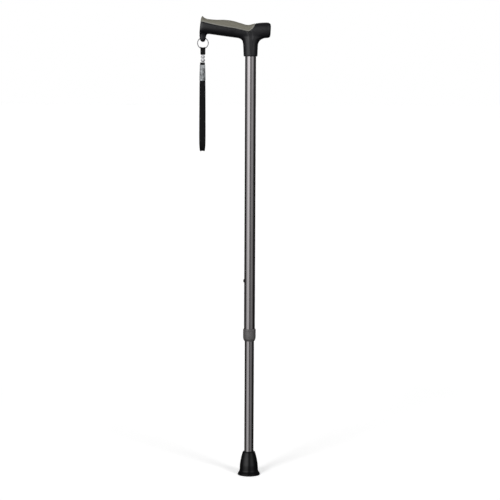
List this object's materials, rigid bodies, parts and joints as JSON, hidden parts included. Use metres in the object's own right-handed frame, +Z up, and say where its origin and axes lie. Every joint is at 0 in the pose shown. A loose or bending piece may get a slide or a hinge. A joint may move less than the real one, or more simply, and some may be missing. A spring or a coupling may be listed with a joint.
{
  "type": "adjustable walking cane",
  "caption": "Height-adjustable walking cane with a shaped T handle, soft palm pad, push-button telescoping shaft, locking collar, rubber foot and a webbing wrist strap on a split ring.",
  "frame": {"origin": "centre of the foot's flat base", "axes": "+Z up along the shaft; +X towards the handle's short nose; the wrist strap hangs on the -X side"},
  "size_m": [0.1475, 0.0458, 0.9306],
  "materials": {
    "lower_tube": "satin smoke-grey anodised",
    "upper_tube": "satin smoke-grey anodised",
    "glide_plug": "moulded nylon",
    "foot_tip": "moulded black rubber",
    "foot_washer": "zinc plated",
    "snap_button": "blackened turned steel",
    "button_spring": "spring strip",
    "locking_collar": "textured charcoal-grey nylon",
    "collar_bushing": "natural acetal",
    "handle_body": "soft satin black",
    "grip_pad": "soft grey elastomer",
    "split_ring": "nickel plated steel wire",
    "ring_tab": "black nylon webbing",
    "tab_stitching": "sewing thread",
    "swivel_pin": "polished nickel",
    "swivel_body": "polished nickel",
    "hanger_loop": "black nylon webbing",
    "reflective_sleeve": "silver reflective cloth",
    "sleeve_stitching": "sewing thread",
    "wrist_loop": "black nylon webbing"
  },
  "bodies": {
    "leg": {"lower_tube": "lower_tube", "glide_plug": "glide_plug", "foot_tip": "foot_tip", "foot_washer": "foot_washer", "button_spring": "button_spring"},
    "button": {"snap_button": "snap_button"},
    "upper": {"upper_tube": "upper_tube", "handle_body": "handle_body", "grip_pad": "grip_pad", "collar_bushing": "collar_bushing"},
    "collar": {"locking_collar": "locking_collar"},
    "ring": {"split_ring": "split_ring"},
    "tab": {"ring_tab": "ring_tab", "tab_stitching": "tab_stitching", "swivel_pin": "swivel_pin"},
    "strap": {"swivel_body": "swivel_body", "hanger_loop": "hanger_loop", "reflective_sleeve": "reflective_sleeve", "sleeve_stitching": "sleeve_stitching", "wrist_loop": "wrist_loop"}
  },
  "joints": [
    {"name": "height_slide", "type": "slide", "parent": "leg", "child": "upper", "axis": [0, 0, 1], "range_m": [-0.17145, 0.05715]},
    {"name": "button_press", "type": "slide", "parent": "leg", "child": "button", "axis": [0.9239, -0.3827, 0], "range_m": [0, 0.0044], "stiffness_N_per_m": 800, "springref_m": -0.001, "deforming": ["button_spring"]},
    {"name": "collar_turn", "type": "hinge", "parent": "upper", "child": "collar", "pos_m": [0, 0, 0.2887], "axis": [0, 0, 1], "range_deg": [-360, 0]},
    {"name": "ring_swing", "type": "hinge", "parent": "upper", "child": "ring", "pos_m": [-0.0955, 0, 0.88775], "axis": [1, 0, 0], "range_deg": [-65, 65]},
    {"name": "strap_swing", "type": "hinge", "parent": "ring", "child": "tab", "pos_m": [-0.0955, 0, 0.877], "axis": [0, 1, 0], "range_deg": [-20, 40]},
    {"name": "swivel_spin", "type": "hinge", "parent": "tab", "child": "strap", "pos_m": [-0.0955, 0, 0.845], "axis": [0, 0, 1], "continuous": true}
  ]
}
